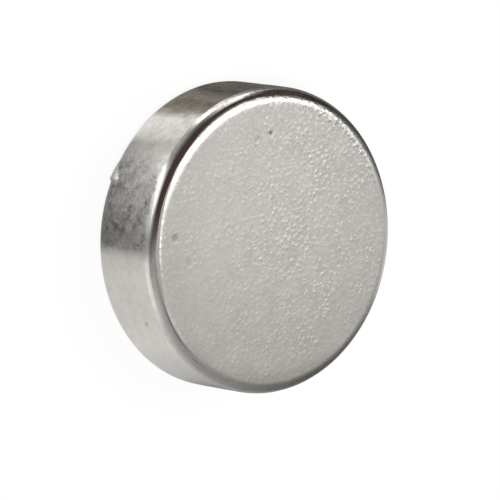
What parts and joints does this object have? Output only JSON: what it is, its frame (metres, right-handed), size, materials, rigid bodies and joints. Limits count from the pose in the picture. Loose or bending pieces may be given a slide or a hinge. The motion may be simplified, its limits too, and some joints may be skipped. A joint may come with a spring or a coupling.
{
  "type": "disc magnet",
  "caption": "Small round disc magnet with rounded edges and a satin nickel finish, for boards, closures, jigs and desk use.",
  "frame": {"origin": "centre of the lower face, which the disc lies on", "axes": "+Z along the disc's own and magnetic axis, towards the upper face; X and Y are free, since the disc is round"},
  "size_m": [0.01, 0.01, 0.003],
  "materials": {
    "nickel_plating": "satin"
  },
  "bodies": {
    "root": {"disc_magnet": "nickel_plating"}
  },
  "joints": []
}
